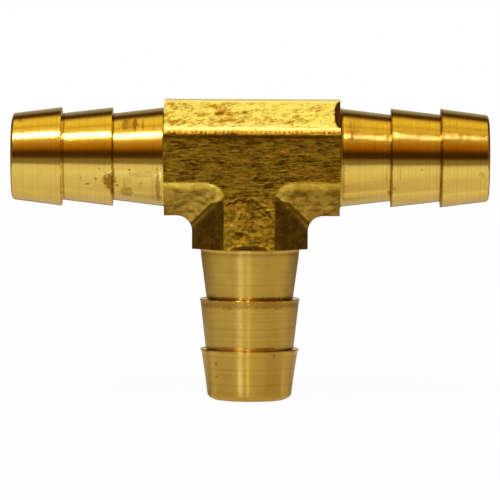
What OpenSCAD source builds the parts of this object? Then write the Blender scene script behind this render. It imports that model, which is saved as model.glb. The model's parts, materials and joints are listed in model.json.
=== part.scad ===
// Barbed tee connector in brass: a forged octagonal tee body and three turned hose stems.
// Millimetres. The run lies along X, the branch hangs down -Z, and the origin is where their axes cross.

/* [Waterway] */
// Bore through the run, the branch and the three stems
bore_d = 7.1; // [5:0.1:10]

/* [Hose barbs] */
// Wall of a stem at the foot of a barb
stem_wall = 1.2; // [1.1:0.05:2]
// Height of a barb's crest over its foot
barb_height = 0.65; // [0.4:0.05:1]
// Distance from one barb to the next on the run
barb_pitch = 5.5; // [4.5:0.05:8]
// Distance from one barb to the next on the branch
branch_pitch = 5.55; // [4.5:0.05:8]
// Barbs on each stem
barb_count = 3; // [2:1:5]
// Width of the cylindrical land on each crest
crest_land = 0.3; // [0.2:0.05:0.6]
// Fillet between the last barb and the end face of the body
root_round = 0.4; // [0.2:0.05:0.6]
// Rounding of the outer rim at the hose end
tip_round = 0.35; // [0.2:0.05:0.6]
// Chamfer at the mouth of the bore
mouth_chamfer = 0.3; // [0.1:0.05:0.35]

/* [Body] */
// Step of the octagonal body outside the barb crests
shoulder = 0.95; // [0.6:0.05:2]
// Depth planed off the front and back flats
face_trim = 0.35; // [0.05:0.05:0.55]
// Rounding of the long corners beside the front and back flats
face_round = 4; // [2:0.1:5]
// Rounding of the other long corners
corner_round = 0.3; // [0.1:0.05:1]
// Fillet in the two valleys between the branch and the run
valley_round = 1.5; // [0.8:0.1:2.5]
// Straight length of the run from a valley fillet to the end face
run_land = 1.75; // [1:0.05:6]
// Straight length of the branch from a valley fillet to the end face
branch_land = 2.1; // [1.5:0.05:6]

/* [Seats] */
// Wall of the spigot that locates a stem in its port
spigot_wall = 0.85; // [0.6:0.05:1]
// Length of the spigot
spigot_length = 4.4; // [2.5:0.1:4.6]
// Radial gap round the spigot, filled by the braze
braze_gap = 0.05; // [0.03:0.01:0.1]
// Gap between the end of the spigot and the floor of the port
floor_gap = 0.15; // [0.1:0.05:0.4]
// Lead chamfer on the end of the spigot
spigot_chamfer = 0.3; // [0.1:0.05:0.4]

/* [Hidden] */
$fn = 96;
brass_forged = [0.74, 0.58, 0.25];
brass_turned = [0.83, 0.68, 0.33];
// Sides of the forging, and the turn from one to the next
sides = 8;
side_turn = 360 / sides;
// Straight steps in a rounding and in a valley fillet
round_steps = 4;
valley_steps = 8;
// Depth to which the valley fillets are rooted in the forging
web_root = 0.4;
// Run of a cutter past the face that it starts from
over = 1;

bore_r = bore_d / 2;
foot_r = bore_r + stem_wall;
crest_r = foot_r + barb_height;
flange_r = crest_r + root_round;
spigot_r = bore_r + spigot_wall;
port_r = spigot_r + braze_gap;
port_depth = spigot_length + floor_gap;
half_flats = crest_r + shoulder;
// Slope that the planing leaves on the rounded corners, at the edges of the planed flats
face_lean = acos(1 - face_trim / face_round);
run_half = half_flats + valley_round + run_land;
branch_reach = half_flats + valley_round + branch_land;

// Points on an arc about a centre, from one angle to another
function arc(centre, r, from, to, steps) =
    [for (i = [0:steps]) let (a = from + (to - from) * i / steps) centre + r * [cos(a), sin(a)]];

// Side 2 of the octagon is the back flat and side 6 is the front flat
function is_face(side) = side % 4 == 2;

// One rounded corner of the octagon, from a side to the next one
function octagon_corner(side) =
    let (
        r = is_face(side) || is_face(side + 1) ? face_round : corner_round,
        reach = (half_flats - r) / cos(side_turn / 2),
        middle = (side + 0.5) * side_turn,
        from = side * side_turn + (is_face(side) ? face_lean : 0),
        to = (side + 1) * side_turn - (is_face(side + 1) ? face_lean : 0)
    )
    arc(reach * [cos(middle), sin(middle)], r, from, to, round_steps);

// The octagon's outline, flats square to both axes
function octagon_outline() = [for (i = [0:sides - 1]) each octagon_corner(i)];

// One half of that outline, from the front flat round the first flat to the back flat
function half_outline() = [for (i = [sides - 2:sides + 1]) each octagon_corner(i)];

// Section of a valley fillet where the two blocks are this far from their axes
function valley_section(reach) =
    let (centre = reach + valley_round)
    concat(
        [[reach - web_root, reach - web_root]],
        arc([centre, centre], valley_round, 180, 270, valley_steps)
    );

// One valley fillet, lofted across the depth of the body through a section at each point of the outline
module valley_web() {
    stations = half_outline();
    ring_size = len(valley_section(0));
    last = len(stations) - 1;
    points = [for (s = stations) for (p = valley_section(s[0])) [p[0], s[1], -p[1]]];
    caps = [
        [for (j = [ring_size - 1:-1:0]) j],
        [for (j = [0:ring_size - 1]) last * ring_size + j]
    ];
    walls = [
        for (i = [0:last - 1]) for (j = [0:ring_size - 1])
        let (k = (j + 1) % ring_size, a = i * ring_size, b = a + ring_size)
        each [[a + j, b + k, b + j], [a + j, a + k, b + k]]
    ];
    polyhedron(points, concat(caps, walls), convexity = 4);
}

// Octagonal bar along +Z
module octagon_bar(length) {
    linear_extrude(length) polygon(octagon_outline());
}

// Bore with its port at the far end, cut along +Z from the crossing of the axes
module waterway(reach) {
    cylinder(r = bore_r, h = reach + over);
    translate([0, 0, reach - port_depth]) cylinder(r = port_r, h = port_depth + over);
}

// Forged tee block with the crossed waterways
module tee_body() {
    color(brass_forged)
    difference() {
        union() {
            rotate([0, 90, 0]) translate([0, 0, -run_half]) octagon_bar(2 * run_half);
            mirror([0, 0, 1]) octagon_bar(branch_reach);
            valley_web();
            mirror([1, 0, 0]) valley_web();
        }
        rotate([0, 90, 0]) waterway(run_half);
        rotate([0, -90, 0]) waterway(run_half);
        rotate([180, 0, 0]) waterway(branch_reach);
    }
}

// Section of one barb in radius and height, crest towards the body
function barb_section(base, pitch) = [
    [crest_r, base],
    [crest_r, base + crest_land],
    [foot_r, base + pitch]
];

// Half section of a stem, in radius and height over its seat
function stem_section(pitch) =
    let (tip = barb_count * pitch)
    concat(
        [[bore_r, -spigot_length], [spigot_r - spigot_chamfer, -spigot_length]],
        [[spigot_r, -spigot_length + spigot_chamfer], [spigot_r, 0]],
        arc([flange_r, root_round], root_round, 270, 180, round_steps),
        [[crest_r, root_round + crest_land], [foot_r, pitch]],
        [for (i = [1:1:barb_count - 2]) each barb_section(i * pitch, pitch)],
        [[crest_r, tip - pitch], [crest_r, tip - pitch + crest_land]],
        arc([foot_r - tip_round, tip - tip_round], tip_round, 0, 90, round_steps),
        [[bore_r + mouth_chamfer, tip], [bore_r, tip - mouth_chamfer]]
    );

// Turned hose stem, its seat at z = 0 and its barbs along +Z
module hose_stem(pitch) {
    color(brass_turned)
    rotate_extrude() polygon(stem_section(pitch));
}

module left_stem() {
    translate([-run_half, 0, 0]) rotate([0, -90, 0]) hose_stem(barb_pitch);
}

module right_stem() {
    translate([run_half, 0, 0]) rotate([0, 90, 0]) hose_stem(barb_pitch);
}

module branch_stem() {
    translate([0, 0, -branch_reach]) rotate([180, 0, 0]) hose_stem(branch_pitch);
}

tee_body();
left_stem();
right_stem();
branch_stem();
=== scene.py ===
"""A barbed tee connector in brass: a forged octagonal tee body and three turned hose stems.

The pieces are modelled on a bench in millimetres and then set down in metres, in the frame of the CAD part:
the run lies along X, the branch hangs down -Z, and the origin is where their axes cross.
"""

import json
import logging
import math
from contextlib import contextmanager
from dataclasses import dataclass, field
from enum import Enum
from functools import cached_property
from typing import Any, Callable, Iterator, Mapping, Optional, Sequence, Union

import bmesh
import bpy
from mathutils import Matrix, Vector, noise


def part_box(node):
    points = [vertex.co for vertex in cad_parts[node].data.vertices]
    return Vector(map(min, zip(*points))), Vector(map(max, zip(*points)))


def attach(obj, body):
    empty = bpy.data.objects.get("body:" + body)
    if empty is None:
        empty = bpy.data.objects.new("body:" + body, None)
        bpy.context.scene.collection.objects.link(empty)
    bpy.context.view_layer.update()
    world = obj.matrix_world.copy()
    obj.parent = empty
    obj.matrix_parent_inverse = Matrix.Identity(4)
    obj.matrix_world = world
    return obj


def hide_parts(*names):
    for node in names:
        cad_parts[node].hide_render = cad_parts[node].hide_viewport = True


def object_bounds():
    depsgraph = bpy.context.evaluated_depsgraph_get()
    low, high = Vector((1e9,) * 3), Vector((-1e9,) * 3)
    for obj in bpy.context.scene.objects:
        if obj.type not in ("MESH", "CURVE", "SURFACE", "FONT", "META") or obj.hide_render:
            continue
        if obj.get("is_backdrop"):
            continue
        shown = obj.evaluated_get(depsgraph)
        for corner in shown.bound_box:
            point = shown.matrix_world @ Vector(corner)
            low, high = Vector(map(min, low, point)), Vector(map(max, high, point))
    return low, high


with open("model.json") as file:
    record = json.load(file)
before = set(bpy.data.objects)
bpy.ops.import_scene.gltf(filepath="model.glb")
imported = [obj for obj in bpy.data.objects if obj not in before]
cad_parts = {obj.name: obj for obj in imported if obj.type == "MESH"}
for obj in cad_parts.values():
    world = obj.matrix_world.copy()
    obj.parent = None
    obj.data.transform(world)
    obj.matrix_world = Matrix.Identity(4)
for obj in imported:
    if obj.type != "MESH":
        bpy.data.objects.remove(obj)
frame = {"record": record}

LOG = logging.getLogger("barbed_tee")
MM = 0.001
IMAGE_SIDE = 500
SENSOR_MM = 36.0
# Sides of the octagonal forging, and half the turn at one of its corners
SIDES = 8
HALF_CORNER = math.pi / SIDES
Point = tuple[float, float]
Place = tuple[float, float, float]
Colour = tuple[float, float, float]
Value = Union["Sock", float, int, Sequence[float], None]


class Outlet(Enum):
    """The three outlets of the tee, by the CAD node of the stem in each."""

    LEFT = "left_stem"
    RIGHT = "right_stem"
    BRANCH = "branch_stem"

    @property
    def direction(self) -> Vector:
        """The way that water leaves by this outlet."""
        ways = {Outlet.LEFT: (-1, 0, 0), Outlet.RIGHT: (1, 0, 0), Outlet.BRANCH: (0, 0, -1)}
        return Vector(ways[self])

    @property
    def axis(self) -> int:
        """The index of the axis that the outlet lies along."""
        return 2 if self is Outlet.BRANCH else 0


class Cut(Enum):
    """Ways to combine two solids on the bench."""

    UNION = "UNION"
    DIFFERENCE = "DIFFERENCE"


def smooth_step(low: float, high: float, value: float) -> float:
    """Rises smoothly from 0 at low to 1 at high, or falls where low is above high."""
    share = min(1.0, max(0.0, (value - low) / (high - low)))
    return share * share * (3 - 2 * share)


def arc(centre: Point, radius: float, start: float, end: float, steps: int) -> list[Point]:
    """Gives the points of an arc in a section.

    Args:
        centre: Centre of the arc.
        radius: Radius of the arc.
        start: First angle in degrees.
        end: Last angle in degrees.
        steps: Straight steps along it.

    Returns:
        The points, both ends included.
    """
    angles = [math.radians(start + (end - start) * i / steps) for i in range(steps + 1)]
    return [(centre[0] + radius * math.cos(a), centre[1] + radius * math.sin(a)) for a in angles]


def ripple(*place: float) -> float:
    """Gives noise from -1 to 1 at a place."""
    return noise.noise(Vector(place))


def speckle(place: Vector) -> float:
    """Gives noise from 0 to 1 at a place."""
    return 0.5 + 0.5 * noise.noise(place)


def scaled(colour: Colour, share: float) -> Colour:
    """Gives a colour made lighter or darker."""
    return tuple(c * share for c in colour)


class Bench:
    """The modelling bench: what a maker does by hand, in millimetres, with Blender's own tools."""

    ROD_SIDES = 96

    @staticmethod
    def clear() -> None:
        """Leaves no object selected."""
        bpy.ops.object.select_all(action="DESELECT")

    @staticmethod
    def take(piece: bpy.types.Object) -> None:
        """Selects one object alone and makes it the active one.

        Args:
            piece: The object.
        """
        Bench.clear()
        piece.select_set(True)
        bpy.context.view_layer.objects.active = piece

    @staticmethod
    @contextmanager
    def editing(piece: bpy.types.Object) -> Iterator[bmesh.types.BMesh]:
        """Opens a piece in edit mode with nothing selected, and closes it again.

        Args:
            piece: The piece.

        Returns:
            A context that gives the piece's edit mesh.
        """
        Bench.take(piece)
        bpy.ops.object.mode_set(mode="EDIT")
        bpy.ops.mesh.select_mode(type="VERT")
        bpy.ops.mesh.select_all(action="DESELECT")
        yield bmesh.from_edit_mesh(piece.data)
        bpy.ops.object.mode_set(mode="OBJECT")

    @staticmethod
    def round_edges(
        piece: bpy.types.Object,
        mesh: bmesh.types.BMesh,
        test: Callable[[Any], bool],
        width: float,
        steps: int,
    ) -> None:
        """Rounds those edges of a piece that pass a test.

        Args:
            piece: The piece that is open in edit mode.
            mesh: Its edit mesh.
            test: Says of an edge whether it is rounded.
            width: Width that the rounding takes from each face.
            steps: Straight steps across it.
        """
        bpy.ops.mesh.select_all(action="DESELECT")
        bpy.ops.mesh.select_mode(type="EDGE")
        taken = [edge for edge in mesh.edges if test(edge)]
        for edge in taken:
            edge.select_set(True)
        bmesh.update_edit_mesh(piece.data)
        LOG.info("%s: %d edges rounded", piece.name, len(taken))
        bpy.ops.mesh.bevel(offset=width, segments=steps, profile=0.5, clamp_overlap=False)

    @staticmethod
    def slice_off(place: Vector, way: Vector) -> None:
        """Cuts off what lies past a plane, and closes the cut, on the piece that is open in edit mode."""
        bpy.ops.mesh.select_all(action="SELECT")
        bpy.ops.mesh.bisect(plane_co=place, plane_no=way, use_fill=True, clear_outer=True)

    @staticmethod
    def settle(piece: bpy.types.Object) -> None:
        """Puts a piece's place, turn and scale into its mesh."""
        Bench.take(piece)
        bpy.ops.object.transform_apply(location=True, rotation=True, scale=True)

    @staticmethod
    def stand(piece: bpy.types.Object, place: Vector, way: Vector) -> None:
        """Moves a piece that was made upright to a place, turned along a way.

        Args:
            piece: The piece, made along Z from the origin.
            place: Where its origin goes.
            way: Where its Z axis points.
        """
        turn = way.to_track_quat("Z", "Y").to_matrix().to_4x4()
        piece.matrix_world = Matrix.Translation(place) @ turn
        Bench.settle(piece)

    @staticmethod
    def modify(piece: bpy.types.Object, kind: str, settings: Mapping[str, Any]) -> None:
        """Adds a modifier to a piece and applies it.

        Args:
            piece: The piece to change.
            kind: The modifier's type.
            settings: Its settings by name.
        """
        Bench.take(piece)
        modifier = piece.modifiers.new(kind.title(), kind)
        for name, value in settings.items():
            setattr(modifier, name, value)
        bpy.ops.object.modifier_apply(modifier=modifier.name)

    @staticmethod
    def combine(piece: bpy.types.Object, tool: bpy.types.Object, how: Cut) -> None:
        """Joins a tool to a piece or cuts it out of the piece, and clears the tool away.

        Args:
            piece: The piece that is kept.
            tool: The solid that is used up.
            how: Union or difference.
        """
        Bench.modify(piece, "BOOLEAN", {"operation": how.value, "solver": "EXACT", "object": tool})
        bpy.data.objects.remove(tool)

    @staticmethod
    def rod(radius: float, start: Vector, end: Vector) -> bpy.types.Object:
        """Adds a round rod between two points.

        Args:
            radius: Radius of the rod.
            start: Middle of one end.
            end: Middle of the other end.

        Returns:
            The rod.
        """
        Bench.clear()
        along = end - start
        bpy.ops.mesh.primitive_cylinder_add(vertices=Bench.ROD_SIDES, radius=radius, depth=along.length)
        piece = bpy.context.object
        Bench.stand(piece, (start + end) / 2, along)
        return piece

    @staticmethod
    def set_down(piece: bpy.types.Object, name: str) -> bpy.types.Object:
        """Brings a finished piece from the bench into the frame, in metres, at the origin.

        Args:
            piece: The piece, modelled in millimetres.
            name: The name that it keeps.

        Returns:
            The same piece.
        """
        piece.name = piece.data.name = name
        piece.scale = (MM, MM, MM)
        Bench.settle(piece)
        return piece


class Sock:
    """One value in a shader, with the operators that add Math nodes to its tree."""

    def __init__(self, graph: "Graph", socket: bpy.types.NodeSocket) -> None:
        """Wraps an output socket of a graph."""
        self.graph = graph
        self.socket = socket

    def _math(self, operation: str, first: Value, second: Value = None) -> "Sock":
        """Adds one Math node."""
        return self.graph.add("ShaderNodeMath", {"operation": operation}, {0: first, 1: second})

    def __add__(self, other: Value) -> "Sock":
        """Gives self + other."""
        return self._math("ADD", self, other)

    def __sub__(self, other: Value) -> "Sock":
        """Gives self - other."""
        return self._math("SUBTRACT", self, other)

    def __rsub__(self, other: Value) -> "Sock":
        """Gives other - self."""
        return self._math("SUBTRACT", other, self)

    def __mul__(self, other: Value) -> "Sock":
        """Gives self * other."""
        return self._math("MULTIPLY", self, other)

    def __truediv__(self, other: Value) -> "Sock":
        """Gives self / other."""
        return self._math("DIVIDE", self, other)

    def __neg__(self) -> "Sock":
        """Gives the value with its sign turned."""
        return self._math("MULTIPLY", self, -1.0)

    __radd__ = __add__
    __rmul__ = __mul__

    def most(self, other: Value) -> "Sock":
        """Gives the larger of two values."""
        return self._math("MAXIMUM", self, other)

    def size(self) -> "Sock":
        """Gives the value without its sign."""
        return self._math("ABSOLUTE", self)

    def turn(self, other: Value) -> "Sock":
        """Gives the angle in degrees whose sine is this value and whose cosine is the other."""
        return self._math("ARCTAN2", self, other) * (180 / math.pi)

    def rise(self, low: float, high: float) -> "Sock":
        """Goes smoothly from 0 at low to 1 at high."""
        sockets = {"Value": self, "From Min": low, "From Max": high}
        return self.graph.add("ShaderNodeMapRange", {"interpolation_type": "SMOOTHSTEP"}, sockets)

    def fall(self, low: float, high: float) -> "Sock":
        """Goes smoothly from 1 at low to 0 at high."""
        return 1 - self.rise(low, high)


class Graph:
    """A node tree, and the one way in which its nodes are added."""

    def __init__(self, tree: bpy.types.NodeTree) -> None:
        """Starts with an empty tree."""
        self.tree = tree
        tree.nodes.clear()

    @classmethod
    def for_material(cls, name: str) -> tuple[bpy.types.Material, "Graph"]:
        """Starts a material of this name, and gives it with its empty tree.

        Args:
            name: Name of the material.

        Returns:
            The material and its tree.
        """
        made = bpy.data.materials.new(name)
        made.use_nodes = True
        return made, cls(made.node_tree)

    def add(
        self,
        kind: str,
        settings: Optional[Mapping[str, Any]] = None,
        sockets: Optional[Mapping[Union[str, int], Value]] = None,
        out: Union[str, int] = 0,
    ) -> Sock:
        """Adds one node.

        Args:
            kind: The node's type.
            settings: Its own settings, which are set first; "stops" fills a ramp with places and colours.
            sockets: Values or links of its inputs, by name or index.
            out: The output that is given back.

        Returns:
            That output.
        """
        node = self.tree.nodes.new(kind)
        for name, value in (settings or {}).items():
            if name == "stops":
                self._fill_ramp(node.color_ramp, value)
            else:
                setattr(node, name, value)
        for key, value in (sockets or {}).items():
            if isinstance(value, Sock):
                self.tree.links.new(value.socket, node.inputs[key])
            elif value is not None:
                node.inputs[key].default_value = value
        return Sock(self, node.outputs[out] if node.outputs else None)

    @staticmethod
    def _fill_ramp(ramp: bpy.types.ColorRamp, stops: Sequence[tuple[float, Colour]]) -> None:
        """Gives a ramp these places and colours.

        Args:
            ramp: The ramp.
            stops: Places from 0 to 1 in order, with their colours.
        """
        while len(ramp.elements) < len(stops):
            ramp.elements.new(1.0)
        for element, (place, _) in zip(ramp.elements, stops):
            element.position = place
        for element, (_, colour) in zip(ramp.elements, stops):
            element.color = (*colour, 1.0)

    def mix(self, share: Value, first: Value, second: Value, blend: str = "MIX") -> Sock:
        """Mixes two colours.

        Args:
            share: Share of the second colour.
            first: The first colour.
            second: The second colour.
            blend: The way of mixing.

        Returns:
            The mixed colour.
        """
        pair = {6: self._rgba(first), 7: self._rgba(second)}
        return self.add("ShaderNodeMix", {"data_type": "RGBA", "blend_type": blend}, {0: share, **pair}, 2)

    @staticmethod
    def _rgba(colour: Value) -> Value:
        """Adds the fourth number to a plain colour."""
        return colour if isinstance(colour, Sock) else (*colour, 1.0)

    def vector(
        self, operation: str, first: Value, second: Value = None, scale: Optional[float] = None
    ) -> Sock:
        """Adds one Vector Math node.

        Args:
            operation: The node's operation.
            first: First vector.
            second: Second vector.
            scale: Factor of a scaling.

        Returns:
            The vector, or the value of an operation that gives one.
        """
        out = "Value" if operation in ("LENGTH", "DOT_PRODUCT") else "Vector"
        sockets = {0: first, 1: second, "Scale": scale}
        return self.add("ShaderNodeVectorMath", {"operation": operation}, sockets, out)

    def parts(self, vector: Sock) -> tuple[Sock, Sock, Sock]:
        """Splits a vector into its three values."""
        node = self.add("ShaderNodeSeparateXYZ", {}, {0: vector}).socket.node
        return tuple(Sock(self, output) for output in node.outputs)

    def millimetres(self) -> Sock:
        """Gives the place on the piece in millimetres."""
        place = self.add("ShaderNodeTexCoord", {}, {}, "Object")
        return self.vector("SCALE", place, scale=1 / MM)

    def bent(self, place: Sock, size: float, reach: float) -> Sock:
        """Bends a place to and fro by noise.

        Args:
            place: Where on the piece, in millimetres.
            size: Size of the noise's cells.
            reach: How far a place is moved.

        Returns:
            The moved place.
        """
        cells = self.vector("SCALE", place, scale=1 / size)
        sockets = {"Vector": cells, "Scale": 1.0}
        way = self.add("ShaderNodeTexNoise", {"noise_dimensions": "3D"}, sockets, "Color")
        push = self.vector("SCALE", self.vector("SUBTRACT", way, (0.5, 0.5, 0.5)), scale=2 * reach)
        return self.vector("ADD", place, push)

    def grain(self, place: Value, stretch: Sequence[float], detail: float = 2.0, rough: float = 0.5) -> Sock:
        """Adds noise whose cells have these sizes.

        Args:
            place: Where on the piece, in millimetres.
            stretch: Size of a cell along each axis, in millimetres.
            detail: Octaves.
            rough: Weight of the finer octaves.

        Returns:
            Noise from 0 to 1.
        """
        cells = self.vector("DIVIDE", place, tuple(stretch))
        sockets = {"Vector": cells, "Scale": 1.0, "Detail": detail, "Roughness": rough}
        return self.add("ShaderNodeTexNoise", {"noise_dimensions": "3D"}, sockets, "Fac")

    def leaned(self, place: Sock, degrees: float) -> Sock:
        """Leans a place about the Y axis, so that a grain runs at a slant."""
        sockets = {"Vector": place, "Rotation": (0, math.radians(degrees), 0)}
        return self.add("ShaderNodeMapping", {"vector_type": "TEXTURE"}, sockets)

    def surface(self, sockets: Mapping[str, Value], height: Sock, depth: float) -> None:
        """Ends the tree in a surface with a fine relief.

        Args:
            sockets: Values or links of the surface's inputs, by name.
            height: Height of the relief, from 0 to about 1.
            depth: What a height of 1 comes to, in millimetres.
        """
        bump = self.add("ShaderNodeBump", {}, {"Strength": 1.0, "Distance": depth * MM, "Height": height})
        shader = self.add("ShaderNodeBsdfPrincipled", {}, {**sockets, "Normal": bump})
        self.add("ShaderNodeOutputMaterial", {}, {"Surface": shader})


@dataclass(frozen=True)
class StainAndShade:
    """A dark mark on a turned stem: spots and smears, and lines of painted shade at the barbs' steps and
    feet.

    Attributes:
        place: Its middle in the frame, in millimetres.
        reach: Its half sizes along the three axes, in millimetres.
        depth: How dark it is, from 0 to 1.
    """

    # Half size of a stain that goes right round a stem
    ALL_ROUND = 40

    place: Place
    reach: Place
    depth: float

    @classmethod
    def ring(cls, across: float, width: float, depth: float) -> "StainAndShade":
        """Gives a dark line right round a stem of the run: painted shade at a crest's step."""
        return cls((across, 0, 0), (width, cls.ALL_ROUND, cls.ALL_ROUND), depth)


# The dark marks on each stem: spots and smears, and painted shade at the barbs' steps and feet
STAINS_AND_SHADE: Mapping[Outlet, tuple[StainAndShade, ...]] = {
    Outlet.LEFT: (
        # Painted shade: dark lines at the two crest steps
        StainAndShade.ring(-20.35, 0.14, 0.65),
        StainAndShade.ring(-14.95, 0.15, 0.75),
        StainAndShade((-15.3, -4.5, -2.5), (0.8, 2.0, 1.2), 1.0),
        StainAndShade((-15.0, -4.0, -3.6), (0.3, 2.0, 0.8), 0.9),
        StainAndShade((-14.85, -4.8, -1.6), (0.15, 2.0, 0.6), 0.9),
        StainAndShade((-18.45, -4.5, -2.2), (0.13, 1.5, 0.35), 0.4),
        StainAndShade((-17.7, -4.2, -2.85), (0.32, 1.5, 0.13), 0.85),
        StainAndShade((-16.8, -4.5, -2.3), (0.16, 1.5, 0.25), 0.75),
        StainAndShade((-16.4, -4.8, -1.15), (0.12, 1.5, 0.17), 0.5),
        StainAndShade((-14.45, -4.2, -3.0), (0.17, 1.5, 0.22), 0.9),
        StainAndShade((-13.15, -4.8, -1.25), (0.17, 1.5, 0.17), 0.75),
        StainAndShade((-13.7, -4.3, -2.8), (0.10, 1.5, 1.0), 0.4),
        StainAndShade((-13.15, -3.6, -3.75), (0.45, 1.5, 0.45), 0.5),
        StainAndShade((-11.85, -4.4, -2.7), (0.22, 1.5, 0.17), 0.55),
        StainAndShade((-13.45, -3.3, -3.7), (0.85, 2.0, 0.75), 0.62),
        StainAndShade((-13.3, -4.3, -2.4), (0.55, 1.5, 0.6), 0.18),
        StainAndShade((-12.0, -4.2, -3.0), (0.35, 1.5, 0.45), 0.3),
        # Painted shade that dims a reflection showing too bright on the lower side
        StainAndShade((-11.4, -4.7, -1.72), (2.3, 1.5, 0.5), 0.38),
        StainAndShade((-10.05, -4.2, -3.2), (0.3, 3.0, 2.6), 0.7),
        StainAndShade((-9.98, -3.6, -4.2), (0.26, 2.0, 0.7), 0.8),
        StainAndShade((-10.65, -4.2, -3.0), (0.07, 3.0, 2.2), 0.35),
        StainAndShade((-13.6, -3.3, 3.6), (0.45, 1.5, 0.8), 0.75),
        StainAndShade((-12.55, -3.3, 3.6), (0.32, 1.5, 0.9), 1.0),
        StainAndShade((-11.7, -3.3, 3.5), (0.16, 1.5, 0.75), 0.7),
        StainAndShade((-13.0, -3.3, 3.6), (1.3, 1.5, 0.7), 0.45),
        StainAndShade((-25.1, -2.6, 4.0), (0.35, 1.2, 0.3), 0.5),
    ),
    Outlet.RIGHT: (
        # Painted shade: dark lines at the two crest steps
        StainAndShade.ring(15.4, 0.16, 0.85),
        StainAndShade.ring(20.85, 0.17, 0.95),
        StainAndShade((10.08, -4.4, -2.6), (0.3, 3.0, 3.0), 0.55),
        StainAndShade((11.35, -3.4, 3.5), (1.1, 2.0, 1.1), 0.26),
        StainAndShade((11.08, -4.1, 2.5), (0.24, 2.0, 0.9), 0.6),
        StainAndShade((10.95, -3.6, 3.1), (0.07, 2.0, 1.5), 0.7),
        StainAndShade((11.25, -3.8, 2.9), (0.05, 2.0, 1.6), 0.6),
        StainAndShade((11.6, -4.0, 2.6), (0.06, 2.0, 1.2), 0.6),
        StainAndShade((13.55, -4.2, 2.0), (0.06, 2.0, 1.7), 0.7),
        StainAndShade((14.8, -4.5, -1.8), (0.08, 2.0, 1.2), 0.4),
        StainAndShade((16.3, -4.8, -1.5), (0.08, 2.0, 0.8), 0.45),
        StainAndShade((18.65, -4.9, -1.1), (0.13, 1.5, 0.14), 0.6),
        StainAndShade((13.55, -4.4, -2.5), (0.14, 1.5, 0.12), 0.4),
        StainAndShade((25.2, -4.5, -1.6), (0.4, 1.5, 0.35), 0.35),
        StainAndShade((15.15, -3.7, -3.8), (0.2, 1.5, 0.45), 0.7),
        StainAndShade((15.6, -4.0, -3.2), (0.25, 1.5, 0.3), 0.4),
    ),
    Outlet.BRANCH: (
        StainAndShade((-3.58, -3.3, -22.45), (0.2, 1.2, 0.32), 0.6),
        StainAndShade((-3.55, -3.3, -23.9), (0.14, 1.2, 0.2), 0.5),
        StainAndShade((2.7, -4.1, -21.5), (0.2, 1.5, 0.38), 0.5),
        # Painted shade: a dark ring under the second crest, and dark lines at the barbs' feet
        StainAndShade((0.0, 0.0, -15.95), (12.0, 12.0, 0.6), 0.62),
        StainAndShade((-2.5, -4.0, -15.33), (1.5, 3.0, 0.2), 0.8),
        StainAndShade((2.0, -4.3, -15.33), (2.2, 3.0, 0.22), 0.9),
        StainAndShade((-2.6, -4.0, -20.74), (1.4, 3.0, 0.17), 0.7),
        StainAndShade((1.6, -4.3, -20.74), (1.7, 3.0, 0.17), 0.7),
    ),
}


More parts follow.
